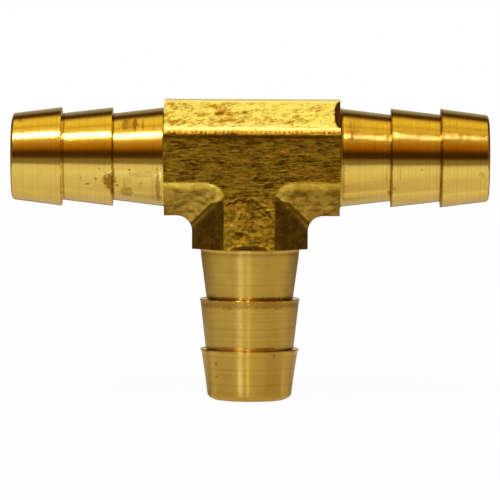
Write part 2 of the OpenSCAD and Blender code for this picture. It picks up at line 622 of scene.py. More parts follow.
@dataclass(frozen=True)
class TurnedBrass:
    """The finish of a stem: bright brass with the fine grooves of the lathe, a few dark spots, and lines of
    painted shade.

    Attributes:
        axis: Index of the axis that the stem was turned about.
        stains: Spots and smears on it, and lines of painted shade at its barbs.
        colour: Reflection of clean brass.
        tarnish: Reflection of tarnished brass, also the colour of the painted shade.
        roughness: Roughness between the grooves.
        groove: Width of a fine groove in millimetres.
        depth: Depth of the fine grooves in millimetres.
        brushed: How far the finest scratches spread the light along the stem, from 0 to 1.
        feed: Width of a ring that the tool's feed left in the colour, in millimetres.
        ringed: How dark those rings are, from 0 to 1.
    """

    axis: int
    stains: tuple[StainAndShade, ...] = ()
    colour: Colour = (0.80, 0.57, 0.16)
    tarnish: Colour = (0.34, 0.165, 0.02)
    roughness: float = 0.13
    groove: float = 0.07
    depth: float = 0.0022
    brushed: float = 0.0
    feed: float = 0.28
    ringed: float = 0.16

    @classmethod
    def on(cls, outlet: Outlet) -> "TurnedBrass":
        """Gives the finish of one of the stems, with its own dark marks; the branch's is brushed, and its
        darker colour is painted shade.

        Args:
            outlet: The outlet that the stem stands in.

        Returns:
            The finish.
        """
        if outlet is not Outlet.BRANCH:
            return cls(outlet.axis, STAINS_AND_SHADE[outlet])
        return cls(
            outlet.axis,
            STAINS_AND_SHADE[outlet],
            # Darker than the arms' brass: painted shade
            colour=(0.67, 0.45, 0.114),
            ringed=0.27,
            roughness=0.24,
            brushed=1.0,
            depth=0.001,
        )

    def material(self, name: str) -> bpy.types.Material:
        """Makes the material.

        Args:
            name: Name of the material.

        Returns:
            The material.
        """
        made, graph = Graph.for_material(name)
        place = graph.millimetres()
        along = graph.parts(place)[self.axis]
        rings = self._ring_noise(graph, along, self.feed, 4.0).rise(0.45, 0.75) * self.ringed
        stained_and_shaded = self._stained(graph, place)
        cloud = graph.grain(place, (1.4, 1.4, 1.4), 3.0)
        clean = graph.mix(cloud.rise(0.35, 0.75), self.colour, scaled(self.colour, 0.94))
        sockets = {
            "Base Color": graph.mix(rings.most(stained_and_shaded), clean, self.tarnish),
            "Metallic": 1.0,
            "Roughness": self.roughness + stained_and_shaded * 0.05 + cloud * 0.04,
            "Anisotropic": self.brushed,
            "Anisotropic Rotation": 0.25,
        }
        graph.surface(sockets, self._grooves(graph, along), self.depth)
        return made

    def _grooves(self, graph: Graph, along: Sock) -> Sock:
        """Gives the height of the lathe's grooves: smooth lands with sharper cuts between them."""
        fine = self._ring_noise(graph, along, self.groove, 3.0)
        return fine.rise(0.46, 0.62) + fine * 0.3

    @staticmethod
    def _ring_noise(graph: Graph, along: Sock, width: float, detail: float) -> Sock:
        """Gives noise that changes only along the stem."""
        sockets = {"W": along / width, "Scale": 1.0, "Detail": detail, "Roughness": 0.6}
        return graph.add("ShaderNodeTexNoise", {"noise_dimensions": "1D"}, sockets, "Fac")

    def _stained(self, graph: Graph, place: Sock) -> Sock:
        """Gives how far each point is darkened, by spots and by painted shade, from 0 to 1.

        Args:
            graph: The material's tree.
            place: Where on the piece, in millimetres.

        Returns:
            The darkening, ragged at its edges.
        """
        edge = graph.grain(place, (0.28, 0.28, 0.28), 4.0, 0.65)
        total = edge * 0.0
        for stain in self.stains:
            offset = graph.vector("SUBTRACT", place, stain.place)
            share = graph.vector("LENGTH", graph.vector("DIVIDE", offset, stain.reach))
            total = total.most((share + edge * 2.0 - 1.0).fall(0.6, 1.0) * stain.depth)
        return total


@dataclass(frozen=True)
class ForgedBrass:
    """The finish of the body: bright above from wear and painted light from overhead, dull below, dark and
    streaked where the front was sheared.

    Attributes:
        rubbed: Reflection of the metal on the faces above, polished by wear and made paler as painted light
            from overhead.
        patch: Reflection of the brown patches on it, also used for painted shade on the lower part of the
            upper corner.
        dull: Reflection of the skin at the sides and below.
        tarnished: Reflection of the darker spots in it.
        sheared: Reflection of the sheared front.
        streak: Reflection of the dark streaks in it.
        dirt: Dark colour of the dirty hollows, and of the painted shade on faces that look aside or down and
            under the front's upper edge.
        grime: Matt colour of the deepest pits, and of the painted shade in the branch's nick and on the
            darkest side faces.
        scratched: Reflection of the clean metal in a scratch.
        worn: Reflection of the top flat and its upper edge, paler still: wear, and painted light from
            overhead.
        roughness: Roughness of the skin, before rubbing, shearing and dirt add to it.
        depth: Depth of the fine grain in millimetres.
    """

    rubbed: Colour = (0.98, 0.95, 0.46)
    patch: Colour = (0.47, 0.235, 0.001)
    dull: Colour = (0.58, 0.375, 0.083)
    tarnished: Colour = (0.19, 0.115, 0.009)
    sheared: Colour = (0.515, 0.312, 0.034)
    streak: Colour = (0.12, 0.058, 0.0005)
    dirt: Colour = (0.105, 0.045, 0.0015)
    grime: Colour = (0.10, 0.04, 0.001)
    scratched: Colour = (0.95, 0.64, 0.10)
    worn: Colour = (1.0, 1.0, 0.7)
    roughness: float = 0.17
    depth: float = 0.03

    def material(self, name: str) -> bpy.types.Material:
        """Makes the material.

        Args:
            name: Name of the material.

        Returns:
            The material.
        """
        made, graph = Graph.for_material(name)
        place = graph.millimetres()
        hollow, front, rubbed, top = (
            graph.add("ShaderNodeAttribute", {"attribute_name": kept}, {}, "Fac") for kept in TeeBody.KEPT
        )
        mottle = graph.grain(place, (0.35, 0.35, 0.35), 5.0, 0.65)
        bent = graph.bent(place, 1.6, 0.28)
        streaks = graph.grain(bent, (1.3, 0.16, 0.16), 4.0, 0.6)
        # Faces that look up take the paler colour of the top: wear, and painted light from overhead
        colour = graph.mix(rubbed, self._skin(graph, bent, mottle), self._top(graph, place, mottle, hollow))
        colour = graph.mix(front, colour, self._sheared(graph, place, mottle, streaks))
        # The top flat is paler still: painted light from overhead
        flat = graph.mix(streaks.rise(0.42, 0.62) * 0.6, self.worn, self.rubbed)
        colour = graph.mix(top * 0.9, colour, flat)
        bare = graph.mix(mottle.rise(0.35, 0.65), scaled(self.scratched, 0.8), self.scratched)
        colour = graph.mix(hollow.fall(-0.9, 0.0), colour, bare)
        # Darker where dirty, and where shade is painted on faces that look aside or down
        colour = graph.mix(hollow.rise(0.2, 1.0) * 0.93, colour, self.dirt)
        # Matt at the darkest: pits, and painted shade in the branch's nick and on the darkest side faces
        matt = hollow.rise(1.0, 1.6)
        colour = graph.mix(matt, colour, self.grime)
        sockets = {
            "Base Color": colour,
            "Metallic": 1 - (top * 0.75).most(matt * 0.9),
            "Roughness": self.roughness + rubbed * 0.15 + front * 0.21 + mottle * 0.08 + hollow * 0.1,
            "Specular IOR Level": 0.1,
        }
        graph.surface(sockets, streaks * front + mottle * (0.4 + rubbed * 0.3), self.depth)
        return made

    def _top(self, graph: Graph, place: Sock, mottle: Sock, hollow: Sock) -> Sock:
        """Gives the colour of the faces above, with slanted patches, painted shade on the corner's lower
        part, and a pale upper edge that is a painted highlight.

        Args:
            graph: The material's tree.
            place: Where on the piece, in millimetres.
            mottle: The fine mottling, from 0 to 1.
            hollow: How dark each point is made: dirty hollows, and painted shade.

        Returns:
            The colour.
        """
        combed = graph.leaned(place, -17)
        patches = graph.grain(combed, (1.9, 0.75, 0.75), 4.0, 0.55)
        lines = graph.grain(combed, (1.6, 0.16, 0.16), 3.0)
        across, _, height = graph.parts(place)
        side = across.fall(-6, 5) * 0.03
        share = (patches * 0.42 + mottle * 0.30 + lines * 0.28 + side).rise(0.458, 0.63)
        # Below 2.85 to 3.75 mm the corner takes the colour of the brown patches: painted shade that keeps the
        # lamps' highlight higher up; the darkened dents take it too
        low = (height.fall(2.85, 3.75) * 0.93).most(hollow.rise(0.05, 0.5))
        colour = graph.mix(share.most(low), self.rubbed, self.patch)
        # The upper edge is paler still: a painted highlight
        return graph.mix((height + mottle * 0.3).rise(6.05, 6.3) * 0.85, colour, self.worn)

    def _skin(self, graph: Graph, place: Sock, mottle: Sock) -> Sock:
        """Gives the colour of the dull skin.

        Args:
            graph: The material's tree.
            place: Where on the piece, in millimetres.
            mottle: The fine mottling, from 0 to 1.

        Returns:
            The colour.
        """
        cloud = graph.grain(place, (1.1, 0.7, 0.7), 4.0, 0.55)
        share = (cloud * 0.72 + mottle * 0.28).rise(0.35, 0.65)
        return graph.mix(share, self.dull, self.tarnished)

    def _sheared(self, graph: Graph, place: Sock, mottle: Sock, streaks: Sock) -> Sock:
        """Gives the colour of the sheared front, lighter where it was torn on the branch.

        Args:
            graph: The material's tree.
            place: Where on the piece, in millimetres.
            mottle: The fine mottling, from 0 to 1.
            streaks: The streaks along the run, from 0 to 1.

        Returns:
            The colour.
        """
        torn = graph.parts(place)[2].fall(-4.6, -3.9)
        light = graph.mix(torn, scaled(self.sheared, 1.25), scaled(self.sheared, 1.65))
        dark = graph.mix(torn, scaled(self.streak, 0.45), scaled(self.streak, 0.9))
        cloud = graph.grain(place, (0.6, 0.4, 0.4), 4.0, 0.6)
        drift = graph.grain(place, (2.4, 1.0, 1.0), 2.0)
        grain = streaks * (0.46 - torn * 0.34) + mottle * 0.16 + cloud * (0.16 + torn * 0.34) + drift * 0.22
        colour = graph.mix(grain.rise(0.375, 0.62), dark, light)
        pale = graph.grain(graph.leaned(place, -9), (0.6, 0.09, 0.09), 3.0).rise(0.56, 0.68)
        return graph.mix(pale * 0.4, colour, scaled(self.scratched, 0.85))


@dataclass(frozen=True)
class Dent:
    """A dent or pit in the forging.

    Attributes:
        place: Its middle on the bench, in millimetres.
        reach: Its half sizes along the three axes, in millimetres.
        depth: Its depth in millimetres.
        stain: How dark it is made: 1 is the full dark colour, and more than that is matt; in the branch's
            nick this is painted shade.
        sharp: True for a scoop with a sharp rim.
    """

    place: Place
    reach: Place
    depth: float
    stain: float = 1.7
    sharp: bool = False

    def at(self, point: Vector) -> float:
        """Gives the share of the dent's depth and dirt that a point has.

        Args:
            point: The point on the unmarked skin.

        Returns:
            The share, from 0 to 1.
        """
        far = sum(((p - c) / r) ** 2 for p, c, r in zip(point, self.place, self.reach))
        if self.sharp:
            return math.sqrt(max(0.0, 1 - far))
        return math.exp(-far) if far < 9 else 0.0


@dataclass(frozen=True)
class Scratch:
    """A line scratched in the front face.

    Attributes:
        path: The points that it runs through, across and up, in millimetres.
        width: Half its width in millimetres.
        bright: How far it shows clean metal, from 0 to 1.
    """

    path: tuple[Point, ...]
    width: float
    bright: float

    def at(self, x: float, z: float) -> float:
        """Gives how bright the scratch makes a place."""
        near = min(self._off(Vector((x, z)), Vector(a), Vector(b)) for a, b in zip(self.path, self.path[1:]))
        return self.bright * math.exp(-((near / self.width) ** 2))

    @staticmethod
    def _off(place: Vector, start: Vector, end: Vector) -> float:
        """Gives the distance from a place to a straight piece of the path.

        Args:
            place: The place.
            start: Start of the straight piece.
            end: Its end.

        Returns:
            The distance in millimetres.
        """
        along = end - start
        share = min(1.0, max(0.0, (place - start) @ along / along.length_squared))
        return (place - start - along * share).length


@dataclass
class TeeBody:
    """The forged tee block: two octagonal bars that meet in rounded valleys, faced and bored.

    Attributes:
        half_flats: Half the width across the octagon's flats.
        half_depth: Half the depth between the planed front and back flats.
        ends: From the crossing of the axes to the end face at each outlet.
        bore_r: Radius of the waterway.
        port_r: Radius of the ports that take the stems.
        port_depth: Depth of the ports.
        valley_round: Width that a valley's fillet takes from each face.
        face_round: Radius of the long corners beside the front and back flats.
        corner_round: Radius of the other long corners.
        voxel: Size of the cells that carry the forging's relief.
        front_trim: Depth to which the front face is sheared flat.
        sheared_half: Half the height of the sheared front on the run.
        torn_half: Half its width on the branch.
        outline_shift: How far its lower outline lies to the left of centre.
        outline_round: Width and height of the rounding in its two inner corners.
        rim_end: Height down to which its rim is made lighter.
        tear: How far below the run's axis the torn patch on the branch starts.
        arch: How far below the run's axis the arched mark over that patch is.
        edge_height: Height of the sheared front's upper edge.
        tooth_pitch: Distance from one of the teeth in that edge to the next.
        tooth_height: Height of the teeth.
        tooth_foot: Height from which the front falls back to the teeth.
        spare: Length left at each end for facing.
    """

    NODE = "tee_body"
    SLOT = "forged_brass"
    # What the finish reads at each point of the skin
    KEPT = ("hollow", "front", "rubbed", "top")
    # How far the ends of the run lie to the right of centre
    OFF_CENTRE = 0.2
    # How near a point counts as on a plane
    NEAR = 0.01
    # How far past a finished end an edge counts as one of the rough end
    PAST_END = 0.1
    # Gap that is merged, and bend that is taken as flat
    MERGE_GAP = 0.001
    FLAT_BEND = math.radians(0.5)
    # Bend from which an edge is a corner, and from which it is shaded sharp
    LEAST_CORNER = math.radians(20)
    SHARP_EDGE = math.radians(50)
    VALLEY_STEPS = 8
    CORNER_STEPS = 6
    MOST_DIRT = 2.0

    half_flats: float
    half_depth: float
    ends: Mapping[Outlet, float]
    bore_r: float
    port_r: float = 4.45
    port_depth: float = 4.55
    valley_round: float = 1.45
    face_round: float = 4.0
    corner_round: float = 0.3
    voxel: float = 0.11
    front_trim: float = 0.01
    sheared_half: float = 2.6
    torn_half: float = 2.775
    outline_shift: float = 0.055
    outline_round: Point = (2.3, 1.7)
    rim_end: float = -4.6
    tear: float = 4.5
    arch: float = 3.6
    edge_height: float = 2.74
    tooth_pitch: float = 0.5
    tooth_height: float = 0.30
    tooth_foot: float = 2.5
    spare: float = 1.0
    piece: Optional[bpy.types.Object] = field(default=None, init=False)

    @classmethod
    def from_frame(cls, bore_r: float) -> "TeeBody":
        """Reads the body's sizes from the frame.

        Args:
            bore_r: Radius of the waterway.

        Returns:
            The body, not built yet.
        """
        low, high = (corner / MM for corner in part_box(cls.NODE))
        ends = {
            Outlet.LEFT: -low.x - cls.OFF_CENTRE,
            Outlet.RIGHT: high.x + cls.OFF_CENTRE,
            Outlet.BRANCH: -low.z,
        }
        return cls(half_flats=high.z, half_depth=high.y, ends=ends, bore_r=bore_r)

    def build(self) -> bpy.types.Object:
        """Models the body.

        Returns:
            The body, in place in the frame.
        """
        span = self.ends[Outlet.LEFT] + self.ends[Outlet.RIGHT]
        self.piece = self._bar(span + 2 * self.spare, Matrix.Rotation(math.pi / 2, 4, "Y"))
        length = self.ends[Outlet.BRANCH] + self.spare
        branch = self._bar(length, Matrix.Translation((0, 0, -length / 2)))
        Bench.combine(self.piece, branch, Cut.UNION)
        self._round_valleys()
        self._round_corners()
        self._plane()
        cells = {"mode": "VOXEL", "voxel_size": self.voxel, "use_smooth_shade": True}
        Bench.modify(self.piece, "REMESH", cells)
        self._forge()
        self._face()
        self._bore()
        Bench.take(self.piece)
        bpy.ops.object.shade_smooth_by_angle(angle=self.SHARP_EDGE)
        return Bench.set_down(self.piece, "forged_tee_body")

    def _bar(self, length: float, place: Matrix) -> bpy.types.Object:
        """Adds an octagonal bar, flats square to the axes.

        Args:
            length: Length of the bar.
            place: Where its middle goes, and which way it points.

        Returns:
            The bar.
        """
        Bench.clear()
        corner = self.half_flats / math.cos(HALF_CORNER)
        bpy.ops.mesh.primitive_cylinder_add(vertices=SIDES, radius=corner, depth=length)
        bar = bpy.context.object
        bar.matrix_world = place @ Matrix.Rotation(HALF_CORNER, 4, "Z")
        Bench.settle(bar)
        for vertex in bar.data.vertices:
            vertex.co = [round(c, 4) for c in vertex.co]
        return bar

    def _round_valleys(self) -> None:
        """Fillets the two valleys between the branch and the run."""
        inner = self.half_flats * math.tan(HALF_CORNER) - self.NEAR

        def in_valley(edge: Any) -> bool:
            """True for an edge that lies where the two bars meet."""
            return all(abs(abs(v.co.x) + v.co.z) < self.NEAR and v.co.z < -inner for v in edge.verts)

        with Bench.editing(self.piece) as mesh:
            bpy.ops.mesh.select_all(action="SELECT")
            bpy.ops.mesh.remove_doubles(threshold=self.MERGE_GAP)
            bpy.ops.mesh.dissolve_limited(angle_limit=self.FLAT_BEND)
            Bench.round_edges(self.piece, mesh, in_valley, self.valley_round, self.VALLEY_STEPS)

    def _round_corners(self) -> None:
        """Rounds the long corners of the forging, and those that run round the valleys."""

        def is_corner(edge: Any) -> bool:
            """True for a convex corner that doesn't lie in an end face.

            Args:
                edge: An edge of the rough tee.

            Returns:
                Whether it is rounded.
            """
            if len(edge.link_faces) != 2 or not edge.is_convex:
                return False
            first, second = (v.co for v in edge.verts)
            in_end = any(
                min(first @ o.direction, second @ o.direction) > self.ends[o] + self.PAST_END for o in Outlet
            )
            return not in_end and edge.calc_face_angle() > self.LEAST_CORNER

        def by_face(edge: Any) -> bool:
            """True for a corner of the front or back flat."""
            return is_corner(edge) and all(abs(v.co.y) > self.half_flats - self.NEAR for v in edge.verts)

        for test, radius in ((by_face, self.face_round), (is_corner, self.corner_round)):
            with Bench.editing(self.piece) as mesh:
                width = radius * math.tan(HALF_CORNER)
                Bench.round_edges(self.piece, mesh, test, width, self.CORNER_STEPS)

    def _plane(self) -> None:
        """Planes the front and back flats down, through the rounded corners beside them."""
        with Bench.editing(self.piece):
            for way in (Vector((0, -1, 0)), Vector((0, 1, 0))):
                Bench.slice_off(way * self.half_depth, way)

    def _forge(self) -> None:
        """Gives the skin its relief, always inwards, and keeps what the finish needs to know of it."""
        mesh = self.piece.data
        hollow, front, rubbed, top = (mesh.attributes.new(n, "FLOAT", "POINT").data for n in self.KEPT)
        normals = [vertex.normal.copy() for vertex in mesh.vertices]
        for index, (vertex, normal) in enumerate(zip(mesh.vertices, normals)):
            point = vertex.co.copy()
            sink, dirt = self._sink(point, normal)
            moved = point - normal * sink
            edge = self._outline(point.x, point.z) if point.z < 0 else 0.0
            dirt -= self._rim(point, edge)
            if normal.y < -0.5:
                depth, stain = self._front(point)
                share = smooth_step(-0.01, 0.015, depth - self.half_depth - moved.y)
                tooth = smooth_step(0.04, -0.04, point.z - self._tooth_top(point.x))
                tooth *= smooth_step(2.3, 2.4, point.z)
                share = max(share, tooth, smooth_step(0.97, 1.03, edge))
                moved.y = max(moved.y, depth - self.half_depth)
                dirt += (stain - dirt) * share + 0.12 * tooth
                front[index].value = share
            hollow[index].value = dirt
            # Faces that look up are marked for the paler colours: wear, and painted light from overhead
            rubbed[index].value = smooth_step(0.1, 0.55, normal.z)
            top[index].value = smooth_step(0.72, 0.88, normal.z)
            vertex.co = moved

    def _outline(self, x: float, z: float) -> float:
        """Gives 1 on the lower outline of the sheared front, more within it and less outside it.

        Args:
            x: Place along the run.
            z: Height over the run's axis.

        Returns:
            Where the place lies by that outline.
        """
        width, height = self.outline_round
        across = (abs(x + self.outline_shift) - self.torn_half) / width
        down = (-self.sheared_half - z) / height
        return math.hypot(max(0.0, 1 - across), max(0.0, 1 - down))

    def _rim(self, point: Vector, edge: float) -> float:
        """Gives how much lighter the rim of the sheared front is made, a little more on the left.

        Args:
            point: The point on the unmarked skin.
            edge: Where it lies by that front's lower outline.

        Returns:
            What is taken off the darkening there.
        """
        if point.y >= 0 or point.z <= self.rim_end:
            return 0.0
        uneven = 1 + 0.35 * noise.noise(point / 0.4)
        return (0.45 if point.x < 0 else 0.38) * uneven * smooth_step(0.3, 0.8, edge)

    def _sink(self, point: Vector, normal: Vector) -> tuple[float, float]:
        """Gives how far the skin is sunk at a point, and how dark it is made there: dirty dents, and painted
        shade on faces that look aside or down.

        Args:
            point: The point on the unmarked skin.
            normal: The skin's normal there.

        Returns:
            The depth in millimetres, and the darkening: 1 is the full dark colour, and more than that is
            matt.
        """
        waves = speckle(point / 2.4)
        pits = speckle(point / 0.35 + Vector((7, 1, 3)))
        slope = (point.z - 0.3 * point.x) / 0.26
        combed = speckle(Vector((point.x / 1.6, slope, 3.0)))
        marks = [(dent, dent.at(point)) for dent in self.dents]
        above = smooth_step(0.2, 0.6, normal.z)
        sink = 0.03 * waves + 0.015 * pits + 0.03 * combed * above
        sink *= (1 - 0.7 * smooth_step(0.8, 0.95, normal.z)) * smooth_step(0.97, 0.93, abs(normal.y))
        # Painted shade: faces that look aside, on the branch and at the valleys, are darkened, most where
        # they meet the valleys and a little more on the right
        aside = math.degrees(math.atan2(abs(normal.x), -normal.z)) - 14 * smooth_step(4.9, 5.5, abs(point.y))
        start = smooth_step(58, 62, aside + 4 * smooth_step(-1, 1, point.x))
        painted_shade = (0.74 + 0.4 * smooth_step(74, 64, aside)) * start
        painted_shade *= smooth_step(0.06, 0.2, abs(normal.x))
        painted_shade *= 1 - above
        # Painted shade on low faces that look down, away from the middle
        low = smooth_step(-5.4, -6.0, point.z + 0.2 * noise.noise(point / 0.6))
        low *= smooth_step(-0.5, -0.65, normal.z)
        painted_shade += 0.5 * low * smooth_step(4.6, 5.2, abs(point.x))
        sink += sum(dent.depth * share for dent, share in marks)
        return sink, min(self.MOST_DIRT, painted_shade + sum(dent.stain * share for dent, share in marks))

    @cached_property
    def dents(self) -> tuple[Dent, ...]:
        """The dents in the sloping faces, and the nick at the right-hand end.

        Returns:
            The dents.
        """
        return (
            Dent((-3.6, -4.1, 4.88), (0.38, 0.5, 0.27), 0.012, 0.62),
            Dent((-3.05, -4.05, 4.98), (0.34, 0.5, 0.24), 0.015, 0.65),
            Dent((-0.6, -4.0, 5.05), (0.42, 0.5, 0.26), 0.01, 0.55),
            Dent((3.75, -4.2, 4.75), (0.6, 0.6, 0.4), 0.01, 0.3),
            Dent((-4.4, -5.6, -3.9), (0.7, 0.8, 0.4), 0.0, 0.3),
            Dent((3.9, -5.6, -3.9), (0.6, 0.8, 0.45), 0.0, 0.3),
            Dent((self.ends[Outlet.RIGHT], -4.12, 4.86), (0.62, 2.0, 2.0), 0.45, 3.0, True),
        )

    def _front(self, point: Vector) -> tuple[float, float]:
        """Gives the sheared front face at a point: flow lines on the run, a torn patch on the branch.

        Args:
            point: The point on the unmarked skin.

        Returns:
            The depth under the flat in millimetres, and the darkening, which is below 0 where the metal shows
            clean; towards the upper edge it is painted shade.
        """
        x, z = point.x, point.z
        warped = z + 0.35 * ripple(x / 2.4, z / 1.1, 4.0)
        flow = 0.5 * ripple(x, warped / 0.17, 0.0) + 0.5 * ripple(x / 0.45, warped / 0.12, 5.0)
        deep = max(0.0, ripple(x / 1.2, warped / 0.26, 9.0) - 0.25)
        torn = 0.6 * ripple(x / 0.5, z / 0.45, 2.0) + 0.4 * ripple(x / 0.2, z / 0.2, 6.0)
        ragged = 0.36 * ripple(x / 0.5, z / 0.4, 8.0)
        crease = z + self.tear + (0.11 if x < -0.3 else 0.24) * (x + 0.3) ** 2 + ragged
        below = smooth_step(0.15, -0.15, crease)
        groove = math.exp(-((crease / 0.27) ** 2)) * smooth_step(2.9, 2.2, abs(x))
        arch = 0.45 * math.exp(-(((z + self.arch + 0.15 * x**2 + ragged) / 0.22) ** 2))
        arch *= smooth_step(2.7, 1.9, abs(x))
        inside = smooth_step(2.6, 1.9, abs(z)) if abs(x) > 3 else 1.0
        relief = (0.022 * (1 + flow) + 0.10 * deep) * (1 - below) * inside
        relief += (0.03 + 0.025 * (1 + torn)) * below + 0.07 * groove + 0.03 * arch
        spots = [(pit, pit.at(Vector((x, -self.half_depth, z)))) for pit in self.pits]
        dirt = (0.35 * max(0.0, flow) + 1.6 * deep) * (1 - below)
        dirt += groove * (1.1 - 0.5 * smooth_step(0.6, 1.8, x))
        dirt += 1.6 * arch
        speck = speckle(Vector((x / 0.26, z / 0.13, 13.0)))
        dirt += sum(pit.stain * share for pit, share in spots) * (0.2 + 1.1 * speck)
        dirt += 0.3 * max(0.0, -torn - 0.1) * below
        uneven = speckle(Vector((x / 0.5, z / 0.3, 11.0)))
        # Painted shade: darker towards the front's upper edge, with a dark band just under it
        under_edge = smooth_step(self.edge_height, 2.58, z)
        dirt += (0.05 + 0.4 * uneven) * smooth_step(2.1, 2.4, z) * under_edge
        dirt += 0.55 * smooth_step(0.9, 2.3, z) * under_edge
        bright = min(0.9, sum(scratch.at(x, z) for scratch in self.scratches))
        depth = self.front_trim + relief + self._teeth(x, z) - 0.03 * bright
        depth += sum(pit.depth * share for pit, share in spots)
        return depth, min(self.MOST_DIRT, dirt) - bright

    @cached_property
    def pits(self) -> tuple[Dent, ...]:
        """The pits in the front face, and the nick at the branch's end.

        Returns:
            The pits.
        """
        front = -self.half_depth
        return (
            Dent((2.1, front, -2.92), (0.5, 1, 0.27), 0.08, 2.4),
            Dent((-1.22, front, -8.14), (0.5, 1, 0.2), 0.08, 2.2),
            Dent((0.35, front, 1.75), (0.7, 1, 0.18), 0.07, 2.0),
            Dent((0.3, front, -6.85), (0.2, 1, 0.16), 0.05),
            Dent((-2.35, front, -7.9), (0.4, 1, 0.35), 0.04, 0.8),
            Dent((1.95, front, -5.85), (0.3, 1, 0.2), 0.06),
            Dent((-7.3, front, -1.5), (0.55, 1, 0.16), 0.06),
            Dent((5.65, front, 0.35), (0.6, 1, 0.14), 0.05),
            Dent((3.8, front, -1.4), (0.4, 1, 0.12), 0.05),
            # The nick's dark matt colour is painted shade in its hollow
            Dent((-0.05, front, -self.ends[Outlet.BRANCH]), (2.27, 1, 0.52), 0.35, 2.0, True),
        )

    @cached_property
    def scratches(self) -> tuple[Scratch, ...]:
        """The lines scratched across the torn patch on the branch, and the burr on its left edge.

        Returns:
            The scratches.
        """
        return (
            Scratch(((-1.05, -5.55), (-1.4, -6.4), (-1.85, -7.1)), 0.13, 0.85),
            Scratch(((-2.4, -6.85), (-1.85, -7.15)), 0.11, 0.85),
            Scratch(((1.1, -4.8), (1.75, -5.2), (2.45, -6.0)), 0.12, 0.6),
            Scratch(((-0.6, -5.9), (-0.95, -6.5)), 0.1, 0.5),
            Scratch(((0.9, -7.9), (1.3, -8.3), (1.7, -8.5)), 0.1, 0.5),
            Scratch(((-2.75, -4.9), (-2.75, -9.2)), 0.08, 0.5),
        )

    def _tooth_top(self, x: float) -> float:
        """Gives how high over the run's axis the shearing reached up the rounded corner.

        Args:
            x: Place along the run.

        Returns:
            The height in millimetres.
        """
        tooth = 0.7 * math.sin(math.tau * x / self.tooth_pitch + 5.0 * ripple(x / 1.1, 0.0, 1.0))
        tooth += 1.3 * ripple(x / 0.3, 0.0, 3.0)
        rise = self.tooth_height * smooth_step(-0.9, 0.6, tooth)
        return self.edge_height + rise + 0.12 * ripple(x / 0.8, 0.0, 7.0)

    def _teeth(self, x: float, z: float) -> float:
        """Gives the depth of the teeth that shearing left along the upper edge of the front face.

        Args:
            x: Place along the run.
            z: Height over the run's axis.

        Returns:
            The depth in millimetres.
        """
        top, shift = self._tooth_top(x), self.half_flats - self.face_round
        up = top - shift * math.tan(HALF_CORNER)
        fallen = self.half_depth - shift - math.sqrt(self.face_round**2 - up**2)
        return max(0.0, fallen) * max(0.0, (z - self.tooth_foot) / (top - self.tooth_foot))

    def _face(self) -> None:
        """Cuts the three ends flat and square."""
        with Bench.editing(self.piece):
            for outlet in Outlet:
                Bench.slice_off(outlet.direction * self.ends[outlet], outlet.direction)

    def _bore(self) -> None:
        """Drills the crossed waterways and the three ports."""
        far = {outlet: outlet.direction * (reach + self.spare) for outlet, reach in self.ends.items()}
        bores = ((far[Outlet.LEFT], far[Outlet.RIGHT]), (Vector(), far[Outlet.BRANCH]))
        for start, end in bores:
            Bench.combine(self.piece, Bench.rod(self.bore_r, start, end), Cut.DIFFERENCE)
        for outlet, reach in self.ends.items():
            floor = outlet.direction * (reach - self.port_depth)
            Bench.combine(self.piece, Bench.rod(self.port_r, floor, far[outlet]), Cut.DIFFERENCE)

    def dress(self, finish: ForgedBrass) -> None:
        """Gives the body its finish and its place among the CAD nodes.

        Args:
            finish: The finish of the forging.
        """
        self.piece.data.materials.clear()
        self.piece.data.materials.append(finish.material("forged_brass"))
        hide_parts(self.NODE)
        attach(self.piece, "root")


@dataclass(frozen=True)
class Barb:
    """One barb of a stem.

    Attributes:
        base: From the crossing of the axes to its crest's step.
        crest: Radius of its crest.
        foot: Radius where it ends.
        lip: Height of the burr that the tool left on its crest.
    """

    base: float
    crest: float
    foot: float
    lip: float = 0.0


